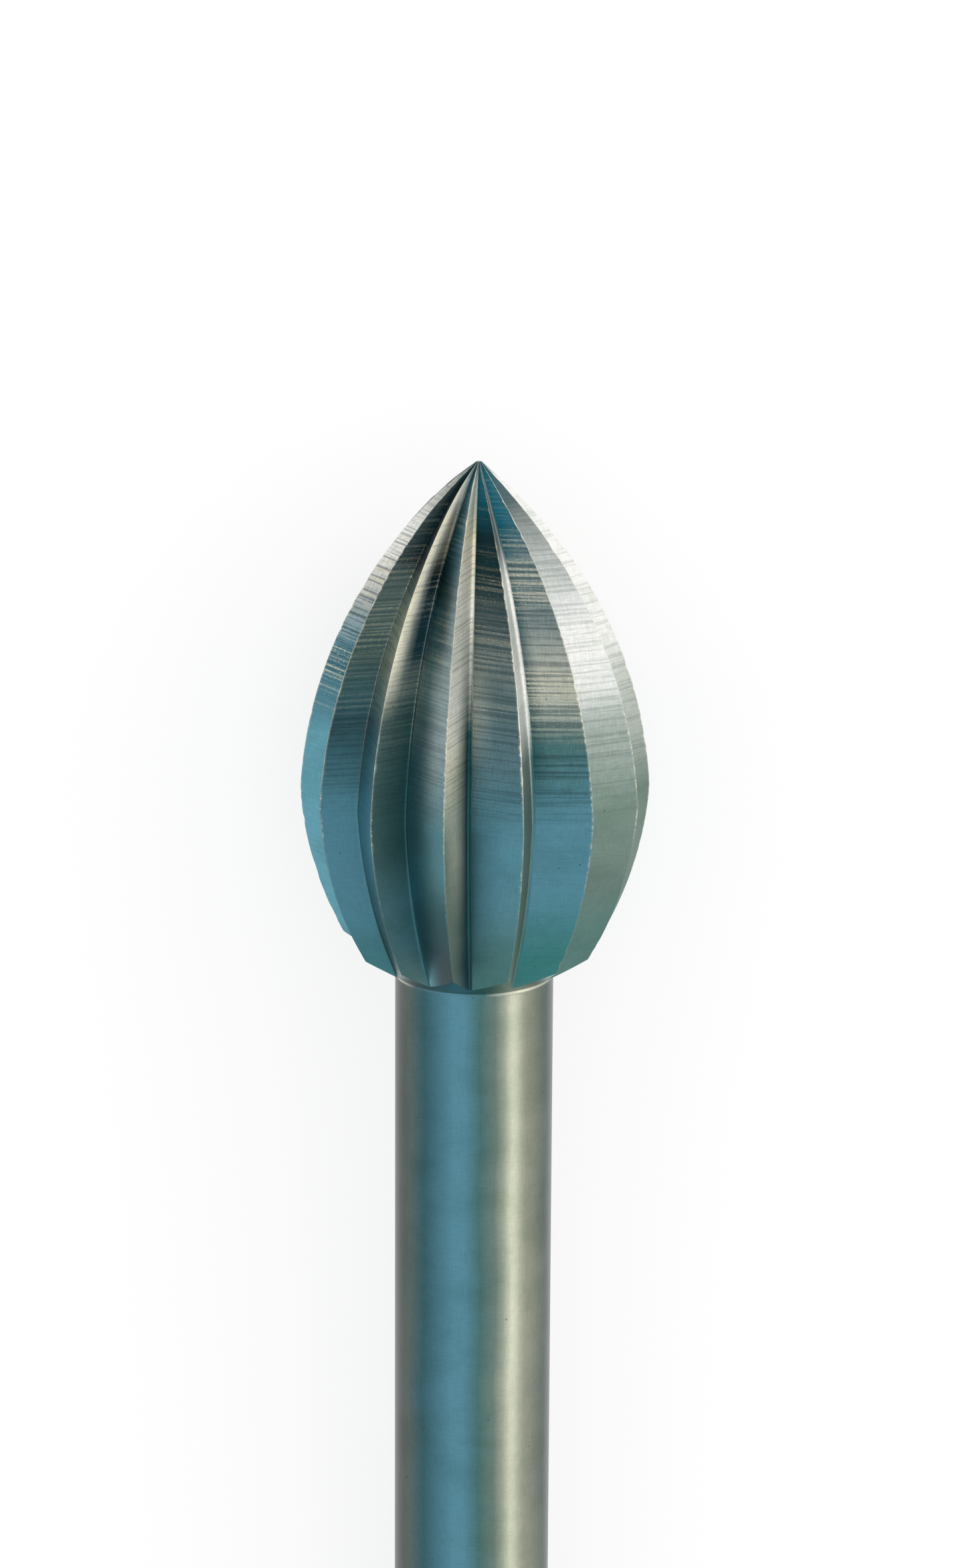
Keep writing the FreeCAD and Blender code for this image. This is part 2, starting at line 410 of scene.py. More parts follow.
# %% Cone, neck and shank rows
NECK_ROWS, SHANK_ROWS = 8, 25
CONE_SHARES, BEVEL_SHARES = (0.04, 0.3, 0.6, 0.9), (0.04, 0.96, 1.0)
turn = math.pi / 2 - math.atan(CONE_SLOPE)
neck_height = -CONE_HEIGHT - NECK_RADIUS * math.tan(turn / 2)
neck = [(SHANK_RADIUS + NECK_RADIUS * (1 - math.cos(a)), neck_height + NECK_RADIUS * math.sin(a))
        for a in np.linspace(turn, 0, NECK_ROWS)]
shank = [(SHANK_RADIUS, z) for z in np.linspace(neck_height, TAIL_HEIGHT + TAIL_CHAMFER, SHANK_ROWS)[1:]]
tail = [(SHANK_RADIUS - TAIL_CHAMFER * s, TAIL_HEIGHT + TAIL_CHAMFER * (1 - s))
        for s in BEVEL_SHARES]
base_ring = head[0]
base_radius = np.linalg.norm(base_ring, axis=-1)
base_way = base_ring / base_radius[:, None]
lower = []
for share in CONE_SHARES:
    radius = base_radius + (neck[0][0] - base_radius) * share
    on_cone = -CONE_SLOPE * (BASE_EDGE - radius)
    lower.append(np.concatenate([base_way * radius[:, None], on_cone[:, None]], 1))
for radius, height in neck + shank + tail:
    lower.append(np.concatenate([base_way * radius, np.full((len(base_way), 1), height)], 1))
lower = np.array(lower[::-1])
upper = np.concatenate([head, heights[..., None]], -1)
skin = np.concatenate([lower, upper])
LOWER_ROWS = len(lower)
print("%d rows of %d points" % skin.shape[:2])

# %% Blunt point, a little off centre
shift = POINT_SHIFT * np.clip((skin[..., 2] - POINT_FROM) / (BUD_HEIGHT - POINT_FROM), 0, 1) ** 2
skin[..., 0] += shift
print("the point stands %.3f mm off centre" % shift.max())

# %% [markdown]
# ## Mesh
#
# Rows and columns turn into faces by joining each point to its neighbours, round and along. The
# tail and the point are closed with a fan of triangles. The mesh is shaded smooth, and the folds
# that are sharp on the real tool, such as the edges and the cone's rim, are marked sharp.

# %% Mesh of the cutter
SHARP_FOLD = math.radians(27)
rows, count = skin.shape[:2]
points = skin.reshape(-1, 3)
directions = np.array([SIDE, UP, ALONG])
places = (np.array(TEETH_END) + points @ directions) * MM
tail_centre = tool_point(TAIL_HEIGHT, 0, 0)
point_centre = (TEETH_END + BUD_HEIGHT * ALONG + POINT_SHIFT * SIDE) * MM
places = np.concatenate([places, [tail_centre, point_centre]])

index = np.arange(rows * count).reshape(rows, count)
beside = np.roll(index, -1, axis=1)
quads = np.stack([index[:-1], beside[:-1], beside[1:], index[1:]], -1).reshape(-1, 4)
tail_fan = [(int(b), int(a), rows * count) for a, b in zip(index[0], beside[0])]
point_fan = [(int(a), int(b), rows * count + 1) for a, b in zip(index[-1], beside[-1])]

cutter_mesh = bpy.data.meshes.new("cutter_skin")
cutter_mesh.from_pydata(places.tolist(), [], quads.tolist() + tail_fan + point_fan)
cutter_mesh.validate()
cutter_mesh.shade_smooth()
cutter_mesh.set_sharp_from_angle(angle=SHARP_FOLD)
cutter = bpy.data.objects.new("cutter_skin", cutter_mesh)
bpy.context.scene.collection.objects.link(cutter)
print("%d points, %d faces" % (len(cutter_mesh.vertices), len(cutter_mesh.polygons)))

# %% [markdown]
# ## What each point of the skin knows
#
# The material has to tell an edge from a flute and a flute from the shank. Each point of the mesh
# can carry its own numbers for that, called attributes. Three of them say where a point is.
# `grain` is a flat map of every flute in millimetres, across and along, so that milling marks can
# follow it, and on the shank it is the point's own place. `on_head` is 1 on the teeth and 0 below
# them, and `on_cut` is 1 on the steep cutting faces. The mill's steps lie at a slant on two of
# those faces, so the map is skewed most there.

# %% Map of the flutes
FIRST_BACK = 1 + len(FACE_SHARES) + len(ROUND_SHARES)
USUAL_SKEW, MARK_SKEWS = 0.05, {3: -0.25, 6: 0.18}
FLUTES_APART = 3
column = np.tile(np.arange(COLUMNS), TEETH)
tooth = np.repeat(np.arange(TEETH), COLUMNS)
height = skin[..., 2]
on_back = (column >= FIRST_BACK).astype(float)
on_head = np.repeat((np.arange(rows) >= LOWER_ROWS).astype(float)[:, None], count, axis=1)

step_long = np.linalg.norm(np.diff(skin[..., :2], axis=1, prepend=skin[:, -1:, :2]), axis=-1)
step_long[:, ::COLUMNS] = 0
across = np.cumsum(step_long.reshape(rows, TEETH, COLUMNS), axis=2).reshape(rows, count)
skew = np.array([MARK_SKEWS.get(t, USUAL_SKEW) for t in tooth]) * (1 - on_back)
flute_number = np.broadcast_to(tooth * FLUTES_APART + on_back, height.shape)
flute_map = np.stack([across, height - skew * across, flute_number], -1)
grain = np.where(on_head[..., None] > 0, flute_map, skin[..., [0, 2, 1]])
print("a flute is up to %.2f mm across" % across.max())

# %% [markdown]
# ## Worn edges, painted glints and flute bottoms
#
# The other attributes say how strong something is. One is high on the worn edges, where bright
# glints are painted, and fades towards the neck; it is high too where painted sparkle lies in the
# bottoms of two flutes, in the upper half of the head. Another gives the thin blue line of painted
# reflection that the bottoms show near the neck. The camera can't see the underside, so a flute
# there borrows what it needs from one that it sees.

# %% Strength of wear and root lines
FIRST_SEEN, LAST_SEEN = 3, 9
BORROW_STEP, LENDERS = 3, 5
EDGE_WEAR_FROM, EDGE_WEAR_OVER, LEAST_EDGE_WEAR = 0.6, 3.4, 0.05
SPARK_FLUTES, SPARKS_FROM, SPARKS_TO, SPARKS_OVER = (4, 5), 3.2, 6.2, 0.5
ROOT_LINE_TO, ROOT_LINE_OVER = 3.6, 0.8


def seen_flute(flute):
    """A flute that the camera sees, for one that it may not see."""
    return flute if FIRST_SEEN <= flute <= LAST_SEEN else FIRST_SEEN + flute * BORROW_STEP % LENDERS


def rise(start, over):
    """At every point, 0 below a height and 1 from a little above it."""
    return np.clip((height - start) / over, 0, 1)


def fall(stop, over):
    """At every point, 1 up to a little below a height and 0 above it."""
    return np.clip((stop - height) / over, 0, 1)


on_land = np.isin(column, (0, COLUMNS - 1))
in_middle = column == 1 + len(FACE_SHARES) + len(ROUND_SHARES) // 2
sparkling = in_middle & np.isin([seen_flute(t) for t in tooth], SPARK_FLUTES)
# Worn edges get painted glints, and two flute bottoms painted sparkle, in the colour.
edge_wear_and_glint = on_head * on_land * np.maximum(rise(EDGE_WEAR_FROM, EDGE_WEAR_OVER), LEAST_EDGE_WEAR)
edge_wear_and_glint += on_head * sparkling * rise(SPARKS_FROM, SPARKS_OVER) * fall(SPARKS_TO, SPARKS_OVER)
# Where a thin blue line of painted reflection runs in the flute bottoms.
root_reflection_line = on_head * in_middle * fall(ROOT_LINE_TO, ROOT_LINE_OVER)
print("flutes 0 to 13 look like", [seen_flute(flute) for flute in range(TEETH)])

# %% [markdown]
# ## Marks and painted gleam
#
# The mill has left its steps on every face, but not as strongly on each. `marks` says how much
# they darken a face and `gleam` how strong the painted highlight is that makes them seem to catch
# the light. Both start some way above the neck and weaken towards the point, and each face of a
# flute has a level of its own.

# %% Strength of marks and gleam
USUAL_LEVEL = 0.5
CUT_MARKS = {3: 1.1, 4: 0.5, 5: 0.45, 6: 0.5, 7: 0.15}
BACK_MARKS = {4: 0.5, 5: 0.45, 6: 0.75, 7: 0.9, 8: 0.45, 9: 0.4}
CUT_GLEAM = {3: 2.0, 4: 0.4, 5: 0.4, 6: 0.3, 7: 0.0}
BACK_GLEAM = {4: 0.5, 5: 0.3, 6: 0.3, 7: 1.0, 8: 0.3, 9: 0.3}
MARKS_FROM, MARKS_OVER, LEAST_MARKS = 2.3, 0.8, 0.1
LATE_MARKS = {3: 3.9}
GLEAM_FROM, GLEAM_OVER = 3.4, 1.0
PEAK_FADE_TO, PEAK_FADE_OVER, LEAST_AT_PEAK = 7.3, 1.4, 0.12


def by_face(cut_levels, back_levels):
    """One level for every column, by the flute it lies in and the side of that flute."""
    return np.where(on_back > 0, [back_levels.get(seen_flute(t), USUAL_LEVEL) for t in tooth],
                    [cut_levels.get(seen_flute(t), USUAL_LEVEL) for t in tooth])


marks_from = np.array([LATE_MARKS.get(seen_flute(t), MARKS_FROM) for t in tooth])
peak_fade = np.maximum(fall(PEAK_FADE_TO, PEAK_FADE_OVER), LEAST_AT_PEAK)
marks = LEAST_MARKS + (1 - LEAST_MARKS) * rise(marks_from, MARKS_OVER) * peak_fade
marks = on_head * marks * by_face(CUT_MARKS, BACK_MARKS)
# Gleam is the strength of the painted highlight on the marks.
gleam = on_head * rise(GLEAM_FROM, GLEAM_OVER) * peak_fade * by_face(CUT_GLEAM, BACK_GLEAM)
print("marks up to %.2f, gleam up to %.2f" % (marks.max(), gleam.max()))


# %% Attributes of the mesh
def store(name, kind, field, values, centres):
    """Keep one number or vector at every point of the skin, the two centre points last."""
    layer = cutter_mesh.attributes.new(name, kind, "POINT")
    layer.data.foreach_set(field, np.concatenate([values.ravel(), np.ravel(centres)]).astype(np.float32))


store("grain", "FLOAT_VECTOR", "vector", grain, [(0, TAIL_HEIGHT, 0), (0, BUD_HEIGHT, 0)])
store("edge_wear_and_glint", "FLOAT", "value", edge_wear_and_glint, [0, 0])
store("marks", "FLOAT", "value", marks, [0, 0.5])
store("gleam", "FLOAT", "value", gleam, [0, 0])
store("on_head", "FLOAT", "value", on_head, [0, 1])
store("on_cut", "FLOAT", "value", on_head * (1 - on_back), [0, 0])
store("root_reflection_line", "FLOAT", "value", root_reflection_line, [0, 0])
print("attributes:", [layer.name for layer in cutter_mesh.attributes])

# %% [markdown]
# ## Painted shade and light
#
# Shade falls deeper in some flutes than in others, some faces catch strong highlights, and the
# point mirrors a strong blue-green. All of that is painted into the colour, as a painter would do
# with a soft brush. Each stroke here names a flute, its cutting face or its back, the heights
# between which it lies and how softly it ends, how strong it is at the tooth's edge and at the
# flute's bottom, and a tint: dark and grey tints are painted shade, white and cream ones painted
# highlights, and the blues painted reflection. A strength below 0 or above 1 only moves the place
# on the face where the stroke begins or is full. Flutes on the underside borrow the strokes of
# one that the camera sees.

# %% Brush strokes of painted shade and light
# Dark and grey tints paint shade, WHITE and CREAM paint highlights, SEA, SKY and CYAN paint reflection.
NIGHT, DEEP, PETROL = (16, 40, 44), (34, 70, 78), (50, 82, 92)
SEA, SKY, CYAN = (92, 146, 164), (118, 180, 196), (10, 104, 124)
WHITE, CREAM, LEAF, PEWTER = (255, 255, 250), (255, 250, 226), (42, 84, 88), (82, 96, 92)
CUT, BACK = 0, 1
STROKES = (
    (3, CUT, -0.3, 4.0, 0.7, 0.95, 0.9, SKY),
    (3, CUT, 3.3, 5.6, 0.7, 0.9, 0.8, SEA),
    (3, CUT, 4.6, 8.4, 1.4, 1.0, 0.95, WHITE),
    (3, CUT, 6.4, 8.4, 0.6, 0.4, 0.6, PEWTER),
    (4, CUT, 5.6, 8.4, 0.4, 0.8, 1.0, NIGHT),
    (4, CUT, 4.0, 6.2, 0.6, 0.7, 0.5, PEWTER),
    (4, CUT, 2.6, 4.8, 1.1, 0.95, 0.8, PETROL),
    (4, BACK, 1.2, 4.8, 0.8, 0.75, 0.5, SKY),
    (4, BACK, 3.7, 6.1, 0.8, 0.8, 0.8, CREAM),
    (4, BACK, 5.4, 7.8, 0.5, 0.2, 0.6, NIGHT),
    (4, BACK, 6.6, 8.4, 0.5, 0.3, 0.8, CYAN),
    (5, CUT, -0.4, 5.0, 0.9, 0.75, 0.95, LEAF),
    (5, CUT, -0.4, 2.0, 0.8, 0.25, 0.4, SEA),
    (5, CUT, 4.2, 7.1, 0.6, -0.2, 1.6, DEEP),
    (5, CUT, 5.5, 6.9, 0.4, -1.0, 1.6, NIGHT),
    (5, CUT, 3.9, 8.4, 0.9, 1.1, -1.0, CREAM),
    (5, CUT, 5.9, 7.1, 0.6, 0.7, 0.3, CREAM),
    (5, CUT, 6.9, 8.4, 0.3, 0.2, 0.6, CYAN),
    (5, BACK, 4.3, 8.4, 0.7, 0.25, 1.15, DEEP),
    (5, BACK, 4.6, 7.6, 0.6, -0.1, 1.5, NIGHT),
    (5, BACK, 0.6, 6.2, 1.2, -0.8, 0.9, SKY),
    (5, BACK, -0.9, 2.2, 0.9, -0.6, 0.9, SKY),
    (5, BACK, 3.3, 5.3, 0.6, -1.3, 0.5, CREAM),
    (5, BACK, 5.4, 8.4, 0.7, 0.5, 0.9, NIGHT),
    (5, BACK, -0.3, 1.9, 0.9, 0.95, 0.3, LEAF),
    (5, BACK, -0.9, 1.3, 0.9, 1.0, 0.2, DEEP),
    (5, BACK, -0.9, 0.7, 0.5, 0.8, 0.0, NIGHT),
    (5, BACK, 5.7, 8.4, 0.6, 0.2, 0.5, CYAN),
    (6, CUT, 2.3, 8.4, 1.2, 1.0, 0.85, CREAM),
    (6, CUT, 3.4, 6.4, 0.8, 0.7, 0.7, WHITE),
    (6, CUT, 0.9, 3.4, 1.2, 0.1, 0.9, CREAM),
    (6, CUT, -2.0, 5.4, 1.6, -0.8, 1.0, LEAF),
    (6, CUT, 6.4, 8.4, 0.5, 0.0, 0.7, LEAF),
    (6, CUT, 6.5, 8.4, 0.3, 0.7, 0.3, WHITE),
    (6, CUT, -0.9, 0.7, 0.5, 0.3, 0.9, DEEP),
    (6, BACK, 4.3, 8.4, 1.6, 1.0, 0.95, NIGHT),
    (6, BACK, 3.3, 5.0, 0.6, -0.2, 0.2, CREAM),
    (6, BACK, -0.3, 2.9, 0.6, -0.3, 0.6, DEEP),
    (6, BACK, 5.6, 8.4, 0.5, -0.5, 1.3, NIGHT),
    (6, BACK, 6.4, 8.4, 0.6, 0.6, 0.7, CYAN),
    (7, CUT, 3.4, 6.4, 0.6, 1.0, 1.0, WHITE),
    (7, BACK, 3.6, 5.3, 0.7, 0.4, 0.35, CREAM),
    (7, CUT, 5.9, 8.4, 0.4, 0.8, 0.7, LEAF),
    (7, BACK, 5.9, 8.4, 0.6, -0.8, 1.2, DEEP),
    (7, BACK, 2.6, 6.4, 0.8, -2.2, 0.9, LEAF),
    (7, BACK, 5.9, 8.4, 0.7, 0.8, 0.9, CYAN),
    (8, BACK, 3.8, 5.6, 0.5, 0.6, 0.6, WHITE),
    (8, BACK, 5.9, 8.4, 0.9, 0.8, 0.85, PEWTER),
    (8, BACK, 6.6, 8.4, 0.5, 0.5, 0.6, CYAN),
)
print("%d tints for %d strokes" % (len({stroke[-1] for stroke in STROKES}), len(STROKES)))

# %% [markdown]
# ## Laying the strokes on
#
# A shader works with amounts of light, which aren't the levels that a screen's colours are
# written in, so one function turns a level into light. Each stroke lays its tint over what is
# there already. The colour is kept multiplied by how much of the steel it covers, so that it
# stays clean where paint ends between two points. The last coat, a painted blue-green
# reflection, goes over the very point.

# %% Painted shade and light over the flutes
# The point's coat is a painted blue-green reflection.
POINT_PAINT_FROM, POINT_PAINT_OVER = 7.08, 0.2
POINT_COVER, POINT_TINT = 0.6, (22, 84, 92)


def plain_light(level):
    """A screen colour level from 0 to 255 as the amount of light that a shader works with."""
    share = level / 255
    return share / 12.92 if share <= 0.04045 else ((share + 0.055) / 1.055) ** 2.4


def painted(under, cover, tint):
    """Colours after one more coat that covers a share of each point."""
    paint = np.array([*(plain_light(level) for level in tint), 1.0])
    return under * (1 - cover) + paint * cover


edge_to_bottom = np.array([0.0, *FACE_SHARES, *[1.0] * len(ROUND_SHARES), *[1 - s for s in BACK_SHARES], 0.0])
painted_light_and_shade = np.zeros((rows, count, 4))
for flute in range(TEETH):
    for which, side, low, high, soft, at_edge, at_bottom, tint in STROKES:
        if which != seen_flute(flute):
            continue
        here = (tooth == flute) & ((on_back > 0) == (side == BACK))
        share = np.clip(at_edge + (at_bottom - at_edge) * edge_to_bottom[column[here]], 0, 1)
        cover = (on_head * rise(low, soft) * fall(high, soft))[:, here] * share
        painted_light_and_shade[:, here] = painted(painted_light_and_shade[:, here], cover[..., None], tint)
painted_light_and_shade = painted(painted_light_and_shade, (rise(POINT_PAINT_FROM, POINT_PAINT_OVER) * POINT_COVER)[..., None], POINT_TINT)
store("painted_light_and_shade", "FLOAT_COLOR", "color", painted_light_and_shade, [np.zeros(4), painted(np.zeros(4), POINT_COVER, POINT_TINT)])
print("patina covers up to %.2f of a spot" % painted_light_and_shade[..., 3].max())

# %% [markdown]
# ## More helpers for nodes
#
# The steel is mixed from many layers: ramps of tints, shares of one colour over another, and
# noise. Noise that is squeezed along one direction turns into lines across it, and that is how
# both the milling marks and the grain are made. Each kind of layer gets a helper.


# %% Helpers for colours and noise
def tint_ramp(tree, factor, stops):
    """A colour ramp through some tints, read at a factor from 0 to 1."""
    ramp = add_node(tree, "ShaderNodeValToRGB", inputs={0: factor})
    band = ramp.color_ramp.elements
    while len(band) < len(stops):
        band.new(0.5)
    for element, (place, tint) in zip(band, stops):
        element.position = place
    for element, (place, tint) in zip(band, stops):
        element.color = [plain_light(level) for level in tint] + [1]
    return ramp.outputs[0]


def smooth_share(tree, value, start, stop):
    """0 before start, 1 after stop and a smooth rise between them."""
    return add_node(tree, "ShaderNodeMapRange", {"interpolation_type": "SMOOTHSTEP"}, {
        "Value": value, "From Min": start, "From Max": stop}).outputs[0]


def blend(tree, share, first, second, mode="MIX"):
    """Two colours mixed by a share."""
    mix = add_node(tree, "ShaderNodeMix", {"data_type": "RGBA", "blend_type": mode}, {0: share})
    for place, colour in ((6, first), (7, second)):
        if isinstance(colour, bpy.types.NodeSocket):
            tree.links.new(colour, mix.inputs[place])
        else:
            mix.inputs[place].default_value = [plain_light(level) for level in colour] + [1]
    return mix.outputs[2]


def times(tree, first, second):
    """The product of two numbers."""
    return maths(tree, "MULTIPLY", first, second)


def read(tree, name, output_name):
    """What an attribute says at each spot."""
    return add_node(tree, "ShaderNodeAttribute", {"attribute_name": name}).outputs[output_name]


def part_along(tree, vector, axis):
    """How much of a vector points along an axis."""
    return add_node(tree, "ShaderNodeVectorMath", {"operation": "DOT_PRODUCT"}, {
        0: vector, 1: tuple(axis)}).outputs["Value"]


def lines(tree, vector, squeeze, detail):
    """Noise over the flute map, squeezed into lines."""
    squeezed = add_node(tree, "ShaderNodeVectorMath", {"operation": "MULTIPLY"}, {0: vector, 1: squeeze})
    return add_node(tree, "ShaderNodeTexNoise", inputs={
        "Vector": squeezed.outputs[0], "Scale": 1.0, "Detail": detail, "Roughness": 0.6}).outputs[0]


steel = bpy.data.materials.new("tool_steel")
tree, output = new_tree(steel)
print("material:", steel.name)

# %% [markdown]
# ## Painted reflections of the steel
#
# Steel shows what it mirrors, and here that is painted into the colour. Where a surface leans
# left it is painted with the sea-blue and teal of a blue surround, where it leans right with the
# warm, pale light of the other side, and the head's upper flanks are painted paler than its foot.
# So the colour comes from which way each spot of the surface faces, measured on the tool itself
# and not from where anybody looks: a colour ramp runs from left to right across the facing. The
# head has four ramps, for surfaces that face the tail, that stand square to the axis, that lean to
# the tip a little and that lean to it more. The shank has one for its soft long bands of painted
# reflection, with a painted highlight line and a painted dark edge, and another for the painted
# highlight on the narrow ring where it meets the back cone. A few named tints serve them all.

# %% Ramps of painted reflection
# Painted reflection, shade and highlight: each ramp's tints are picked by which way a spot faces.
DARK_EDGE_SHADE, SLATE, SAGE, TEAL = (50, 55, 50), (60, 100, 110), (80, 122, 122), (64, 130, 130)
LICHEN, MIST, STONE = (118, 138, 128), (146, 164, 166), (158, 162, 144)
BONE, SAND = (182, 190, 180), (195, 197, 175)
SHANK_REFLECTION_TINTS = (
    (0.0, DARK_EDGE_SHADE), (0.08, PEWTER), (0.17, SLATE), (0.35, SEA), (0.42, SEA), (0.52, SAGE), (0.62, LICHEN),
    (0.72, SAND), (0.82, STONE), (0.95, PEWTER))
RING_REFLECTION_TINTS = ((0.02, SAND), (0.12, PETROL), (0.35, SEA), (0.54, SAGE), (0.76, CREAM), (1.0, LICHEN))
FOOT_REFLECTION_TINTS = ((0.1, DEEP), (0.25, SAGE), (0.5, TEAL), (0.9, LICHEN))
BELLY_REFLECTION_TINTS = ((0.0, SAGE), (0.3, SEA), (0.5, SEA), (0.7, LICHEN))
SHOULDER_REFLECTION_TINTS = ((0.1, MIST), (0.3, SLATE), (0.5, SAGE), (0.75, BONE))
PEAK_REFLECTION_TINTS = ((0.15, MIST), (0.3, PEWTER), (0.55, MIST), (0.72, WHITE))
BELLY_LEAN, SHOULDER_LEAN, PEAK_LEAN = (-0.38, -0.14), (0.02, 0.19), (0.17, 0.34)
RING_LEAN, CONE_LEAN = (-0.12, -0.4), (-0.62, -0.8)
print("%d stops for the shank, %d for its ring" % (len(SHANK_REFLECTION_TINTS), len(RING_REFLECTION_TINTS)))

# %% [markdown]
# ## Steel with its painted reflections
#
# Each ramp takes over from the one before as the surface leans further, between two leans given
# above. The shank's bands of reflection aren't ruled lines on the real tool, so slow noise sways
# the painted ones a little. The painted shade and light of the strokes goes on last. Its colour is
# already multiplied by its cover, so the steel below is dimmed by the cover and that colour is
# simply added.

# %% Steel with painted reflections
SWAY, SWAY_DETAIL, SWAY_REACH = (0.15, 0.5, 0.15), 2.0, 0.09
flute_place = read(tree, "grain", "Vector")
normal = add_node(tree, "ShaderNodeTexCoord").outputs["Normal"]
to_side, to_tip = part_along(tree, normal, SIDE), part_along(tree, normal, ALONG)
round_part = maths(tree, "SQRT", maths(tree, "SUBTRACT", 1.0, times(tree, to_tip, to_tip)))
facing = maths(tree, "MULTIPLY_ADD", maths(tree, "DIVIDE", to_side, round_part), 0.5, 0.5)
sway = maths(tree, "SUBTRACT", lines(tree, flute_place, SWAY, SWAY_DETAIL), 0.5)
swayed = maths(tree, "MULTIPLY_ADD", sway, SWAY_REACH, facing)

# The head's painted reflections, chosen by facing and by lean towards the tip.
foot = tint_ramp(tree, facing, FOOT_REFLECTION_TINTS)
head_reflection = foot
for lean, stops in ((BELLY_LEAN, BELLY_REFLECTION_TINTS), (SHOULDER_LEAN, SHOULDER_REFLECTION_TINTS), (PEAK_LEAN, PEAK_REFLECTION_TINTS)):
    head_reflection = blend(tree, smooth_share(tree, to_tip, *lean), head_reflection, tint_ramp(tree, facing, stops))
bands, ring = tint_ramp(tree, swayed, SHANK_REFLECTION_TINTS), tint_ramp(tree, facing, RING_REFLECTION_TINTS)
shank_reflection = blend(tree, smooth_share(tree, to_tip, *RING_LEAN), bands, ring)
shank_reflection = blend(tree, smooth_share(tree, to_tip, *CONE_LEAN), shank_reflection, foot)
tinted = blend(tree, read(tree, "on_head", "Fac"), shank_reflection, head_reflection)
tinted = blend(tree, read(tree, "painted_light_and_shade", "Alpha"), tinted, (0, 0, 0))
tinted = blend(tree, 1.0, tinted, read(tree, "painted_light_and_shade", "Color"), "ADD")
print("tinted steel: %d nodes" % len(tree.nodes))

# %% [markdown]
# ## Milling marks
#
# The mill moves round the bud in small steps, and each step leaves a faint line across the flute.
# Here the flute map is squeezed along the tool, so every blot of noise becomes such a line. The
# low side of the noise gives dark bars, and the high side gives pale bars, which are painted
# highlights where the steps seem to catch the light; a wide slow noise lets these come in groups.
# Noise runs from 0 to 1 but keeps near 0.5, so each layer is read between two levels of it, given
# as a pair: nothing shows at the first, everything at the second.

# %% Pale and dark bars
BARS, GROUPS, SPECKLE = (0.35, 23.0, 1.0), (0.3, 1.3, 1.0), (26.0, 44.0, 1.0)
DARK_LEVELS, PALE_LEVELS, GROUP_LEVELS = (0.52, 0.38), (0.47, 0.64), (0.3, 0.62)
BAR_STRENGTH = 0.5
# The pale bar's cream is a painted highlight where the steps seem to catch the light.
DARK_BAR, BAR_HIGHLIGHT_TINT = (36, 62, 68), (224, 220, 194)
GRAINY_LEVELS, GRAINY_GAIN, GRAINY_LEAST = (0.3, 0.7), 0.7, 0.5

marks_here = read(tree, "marks", "Fac")
bars = lines(tree, flute_place, BARS, 1.0)
groups = lines(tree, flute_place, GROUPS, 1.0)
speckle = lines(tree, flute_place, SPECKLE, 1.0)
gleaming = times(tree, read(tree, "gleam", "Fac"), smooth_share(tree, groups, *GROUP_LEVELS))
gleaming = times(tree, gleaming, BAR_STRENGTH)
grainy = maths(tree, "MULTIPLY_ADD", smooth_share(tree, speckle, *GRAINY_LEVELS), GRAINY_GAIN, GRAINY_LEAST)
dark_bars = times(tree, smooth_share(tree, bars, *DARK_LEVELS), times(tree, marks_here, BAR_STRENGTH))
# Painted highlights on the pale side of the steps.
painted_bar_highlights = times(tree, times(tree, smooth_share(tree, bars, *PALE_LEVELS), gleaming), grainy)
marked = blend(tree, dark_bars, tinted, DARK_BAR)
marked = blend(tree, painted_bar_highlights, marked, BAR_HIGHLIGHT_TINT)
print("marks cross the flutes")

# %% [markdown]
# ## Grain, clouds, pits and painted sparks
#
# Over the bars lies a fine grain. Lines across the flute and lines along it are added up, and make
# the colour a little darker here and lighter there, most where the marks are strong. Soft clouds
# and a few tiny dark pits keep the plain places from looking printed, and where a face has painted
# gleam, single sparks of painted highlight show.

# %% Grain, clouds, pits and sparks
CROSS_GRAIN, LONG_GRAIN = (7.0, 48.0, 1.0), (48.0, 5.0, 1.0)
GRAIN_GAIN, GRAIN_LEAST = 0.9, 0.1
GRAIN_SHARE, GRAIN_BY_MARKS = 0.22, 0.4
CLOUDS, CLOUD_LEVELS, CLOUD_SHARE, CLOUD_TINT = (0.9, 1.3, 0.9), (0.4, 0.7), 0.8, (232, 236, 232)
PITS, PIT_LEVELS, PIT_SHARE, PIT_TINT = (19.0, 19.0, 1.0), (0.87, 0.89), 0.8, (24, 44, 48)
SPARK_LEVELS, SPARK_HIGHLIGHT_TINT = (0.6, 0.78), (226, 218, 190)

cross_grain = lines(tree, flute_place, CROSS_GRAIN, 1.0)
long_grain = lines(tree, flute_place, LONG_GRAIN, 1.0)
both_grains = maths(tree, "ADD", cross_grain, long_grain)
fine = maths(tree, "MULTIPLY_ADD", both_grains, GRAIN_GAIN, GRAIN_LEAST)
fine_grey = add_node(tree, "ShaderNodeCombineColor", inputs={0: fine, 1: fine, 2: fine}).outputs[0]
grain_share = maths(tree, "MULTIPLY_ADD", marks_here, GRAIN_BY_MARKS, GRAIN_SHARE)
marked = blend(tree, grain_share, marked, fine_grey, "MULTIPLY")
cloudy = smooth_share(tree, lines(tree, flute_place, CLOUDS, 4.0), *CLOUD_LEVELS)
marked = blend(tree, times(tree, cloudy, CLOUD_SHARE), marked, CLOUD_TINT, "MULTIPLY")
pitted = smooth_share(tree, lines(tree, flute_place, PITS, 0.0), *PIT_LEVELS)
marked = blend(tree, times(tree, pitted, PIT_SHARE), marked, PIT_TINT)
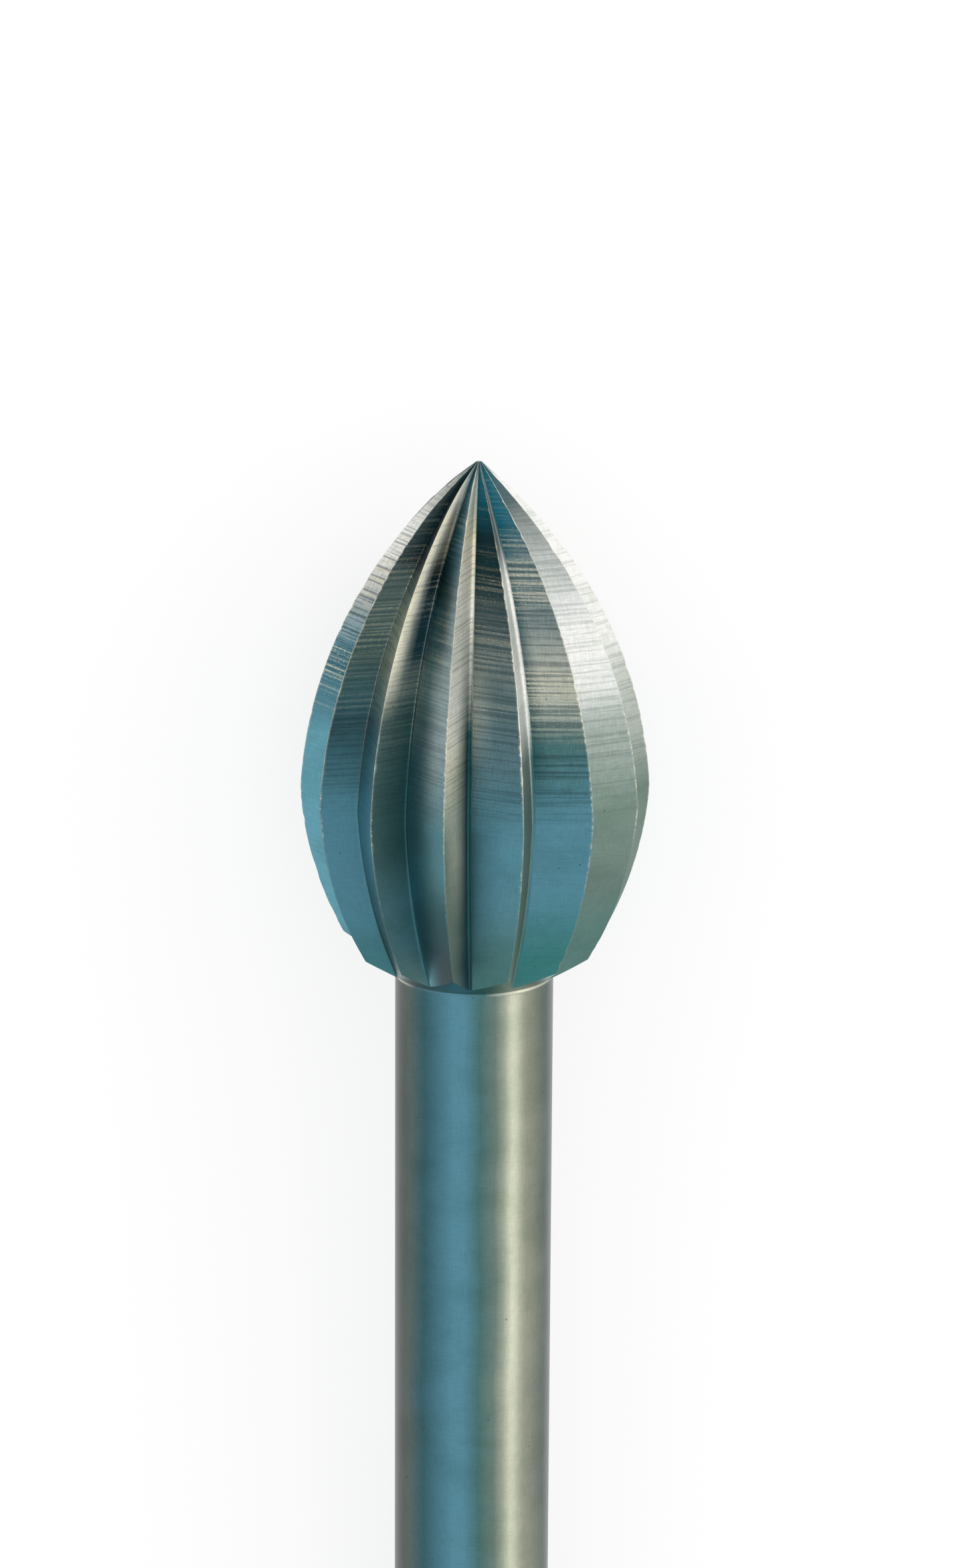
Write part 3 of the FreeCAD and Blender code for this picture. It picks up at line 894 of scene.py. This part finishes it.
# Sparks are painted highlights.
sparks = times(tree, smooth_share(tree, speckle, *SPARK_LEVELS), gleaming)
marked = blend(tree, sparks, marked, SPARK_HIGHLIGHT_TINT)
print("grain follows the flutes")

# %% [markdown]
# ## Painted glints on edges and painted reflection in bottoms
#
# Steel wears bright on its edges, and here bright glints are painted on them, only in stretches,
# and within a stretch only at some spots. Two noises give the stretches and the spots. Near the
# neck the bottoms of the flutes are painted with a thin blue line of reflection instead.

# %% Edges and bottoms
GLINTS, GLINT_LEVELS = (3.0, 14.0, 1.0), (0.46, 0.62)
STRETCHES, STRETCH_LEVELS = (0.5, 1.1, 1.0), (0.46, 0.6)
GLINT_GAIN, EDGE_LEAST = 0.9, 0.18
ROOT_SHARE, ROOT_REFLECTION_TINT, EDGE_GLINT_TINT = 0.22, (96, 172, 180), (250, 245, 226)

glints = smooth_share(tree, lines(tree, flute_place, GLINTS, 2.0), *GLINT_LEVELS)
stretches = smooth_share(tree, lines(tree, flute_place, STRETCHES, 1.0), *STRETCH_LEVELS)
glinting = maths(tree, "MULTIPLY_ADD", times(tree, glints, stretches), GLINT_GAIN, EDGE_LEAST)
# Painted glints on the worn edges.
edge_light = times(tree, read(tree, "edge_wear_and_glint", "Fac"), glinting)
# The thin blue painted reflection in the flute bottoms near the neck.
marked = blend(tree, times(tree, read(tree, "root_reflection_line", "Fac"), ROOT_SHARE), marked, ROOT_REFLECTION_TINT)
coloured = blend(tree, edge_light, marked, EDGE_GLINT_TINT)
print("edges glint in stretches")

# %% [markdown]
# ## The metal itself
#
# Blender's principled shader turns all this into steel. The bars and the grain are used once
# more, as bump, so that they also break up the shine: a relief only a few micrometres deep. The
# cutting faces are a little rougher than the backs, so the light spreads wider on them.

# %% Metal
BAR_RELIEF, GRAIN_RELIEF = 0.8, 0.3
BUMP_STRENGTH, BUMP_METRES = 0.8, 0.000003
BACK_ROUGHNESS, CUT_ROUGHER = 0.3, 0.28

grain_relief = times(tree, both_grains, GRAIN_RELIEF)
relief = maths(tree, "MULTIPLY_ADD", times(tree, bars, marks_here), BAR_RELIEF, grain_relief)
bump = add_node(tree, "ShaderNodeBump", inputs={
    "Strength": BUMP_STRENGTH, "Distance": BUMP_METRES, "Height": relief})
roughness = maths(tree, "MULTIPLY_ADD", read(tree, "on_cut", "Fac"), CUT_ROUGHER, BACK_ROUGHNESS)
metal = add_node(tree, "ShaderNodeBsdfPrincipled", inputs={
    "Base Color": coloured, "Metallic": 1.0, "Roughness": roughness, "Normal": bump.outputs[0]})
tree.links.new(metal.outputs[0], output.inputs["Surface"])
cutter_mesh.materials.append(steel)
print("steel: %d nodes" % len(tree.nodes))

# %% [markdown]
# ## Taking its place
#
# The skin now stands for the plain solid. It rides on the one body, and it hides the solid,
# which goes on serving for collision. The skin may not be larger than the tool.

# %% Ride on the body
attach(cutter, "root")
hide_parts("milling_cutter")
print("%s rides on root" % cutter.name)
